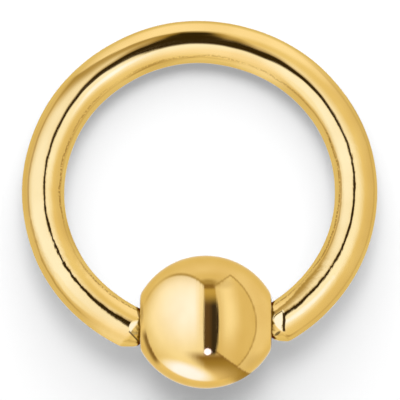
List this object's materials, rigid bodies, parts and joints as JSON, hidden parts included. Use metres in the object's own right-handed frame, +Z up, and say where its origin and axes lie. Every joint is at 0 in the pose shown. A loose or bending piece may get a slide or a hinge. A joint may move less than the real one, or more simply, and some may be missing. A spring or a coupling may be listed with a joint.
{
  "type": "captive bead cartilage hoop",
  "caption": "Round wire hoop with chamfered ends that sit in the dimples of a ball, which closes the ring and spins between them.",
  "frame": {"origin": "middle of the footprint, on the surface that the ring lies on", "axes": "+Z up from the surface, +X along the bead's spin axis, -Y from the hoop's centre towards the bead"},
  "size_m": [0.0104, 0.0108, 0.0039],
  "materials": {
    "polished_gold": "mirror-polished yellow gold with faint polishing marks"
  },
  "bodies": {
    "ring": {"hoop": "polished_gold"},
    "bead": {"captive_bead": "polished_gold"}
  },
  "joints": [
    {"name": "bead_spin", "type": "hinge", "parent": "ring", "child": "bead", "pos_m": [0.00018, -0.00345, 0.00195], "axis": [1, 0, 0], "continuous": true}
  ]
}
